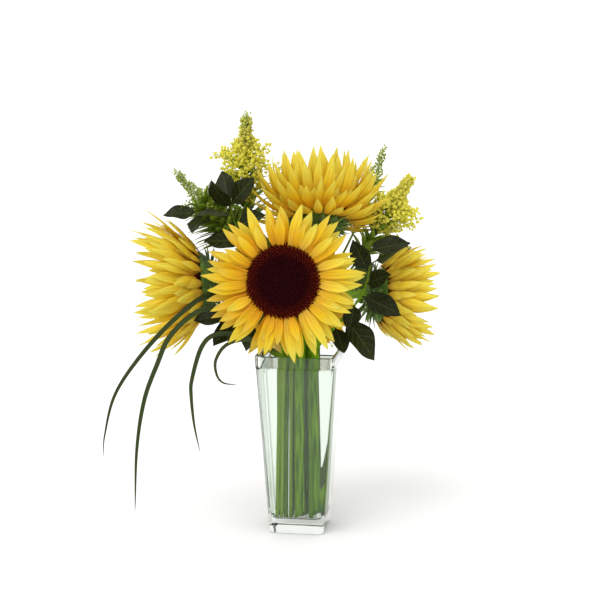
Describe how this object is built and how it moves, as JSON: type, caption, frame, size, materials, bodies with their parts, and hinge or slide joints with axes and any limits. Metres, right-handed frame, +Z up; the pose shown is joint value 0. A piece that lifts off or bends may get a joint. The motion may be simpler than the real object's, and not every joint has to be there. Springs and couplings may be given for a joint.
{
  "type": "sunflowers in a vase",
  "caption": "Sunflowers with goldenrod, salal leaves and arching grass blades, standing in a tapered square clear glass vase of water.",
  "frame": {"origin": "middle of the vase's underside", "axes": "+Z up; X and Y along the vase's sides, with the front sunflower facing towards -Y and the long grass blades falling on the -X side"},
  "size_m": [0.3413, 0.2471, 0.4637],
  "materials": {
    "clear_glass": "polished",
    "water": "polished",
    "sunflower_stem": "satin",
    "sunflower_calyx": "matte",
    "ray_petal": "satin",
    "disc_floret": "matte",
    "goldenrod": "matte",
    "salal_twig": "matte",
    "salal_leaf": "gloss",
    "grass_blade": "satin"
  },
  "bodies": {
    "root": {"vase": "clear_glass", "water": "water", "sunflower_front_stem": "sunflower_stem", "sunflower_front_calyx": "sunflower_calyx", "sunflower_front_petals": "ray_petal", "sunflower_front_disc": "disc_floret", "sunflower_top_stem": "sunflower_stem", "sunflower_top_calyx": "sunflower_calyx", "sunflower_top_petals": "ray_petal", "sunflower_top_disc": "disc_floret", "sunflower_left_stem": "sunflower_stem", "sunflower_left_calyx": "sunflower_calyx", "sunflower_left_petals": "ray_petal", "sunflower_left_disc": "disc_floret", "sunflower_right_stem": "sunflower_stem", "sunflower_right_calyx": "sunflower_calyx", "sunflower_right_petals": "ray_petal", "sunflower_right_disc": "disc_floret", "sunflower_back_stem": "sunflower_stem", "sunflower_back_calyx": "sunflower_calyx", "sunflower_back_petals": "ray_petal", "sunflower_back_disc": "disc_floret", "goldenrod_tall": "goldenrod", "goldenrod_left": "goldenrod", "goldenrod_back": "goldenrod", "goldenrod_right": "goldenrod", "salal_left_twig": "salal_twig", "salal_left_leaf_1": "salal_leaf", "salal_left_leaf_2": "salal_leaf", "salal_left_leaf_3": "salal_leaf", "salal_left_leaf_4": "salal_leaf", "salal_left_leaf_5": "salal_leaf", "salal_left_leaf_6": "salal_leaf", "salal_right_twig": "salal_twig", "salal_right_leaf_1": "salal_leaf", "salal_right_leaf_2": "salal_leaf", "salal_right_leaf_3": "salal_leaf", "salal_right_leaf_4": "salal_leaf", "salal_right_leaf_5": "salal_leaf", "salal_right_leaf_6": "salal_leaf", "salal_right_leaf_7": "salal_leaf", "salal_right_leaf_8": "salal_leaf", "salal_low_twig": "salal_twig", "salal_low_leaf_1": "salal_leaf", "salal_low_leaf_2": "salal_leaf", "salal_low_leaf_3": "salal_leaf", "salal_low_leaf_4": "salal_leaf", "salal_upper_left_twig": "salal_twig", "salal_upper_left_leaf_1": "salal_leaf", "salal_upper_left_leaf_2": "salal_leaf", "salal_upper_left_leaf_3": "salal_leaf", "salal_upper_left_leaf_4": "salal_leaf", "salal_back_right_twig": "salal_twig", "salal_back_right_leaf_1": "salal_leaf", "salal_back_right_leaf_2": "salal_leaf", "salal_back_right_leaf_3": "salal_leaf", "lily_grass_blade_1": "grass_blade", "lily_grass_blade_2": "grass_blade", "lily_grass_blade_3": "grass_blade", "lily_grass_blade_4": "grass_blade"}
  },
  "joints": []
}
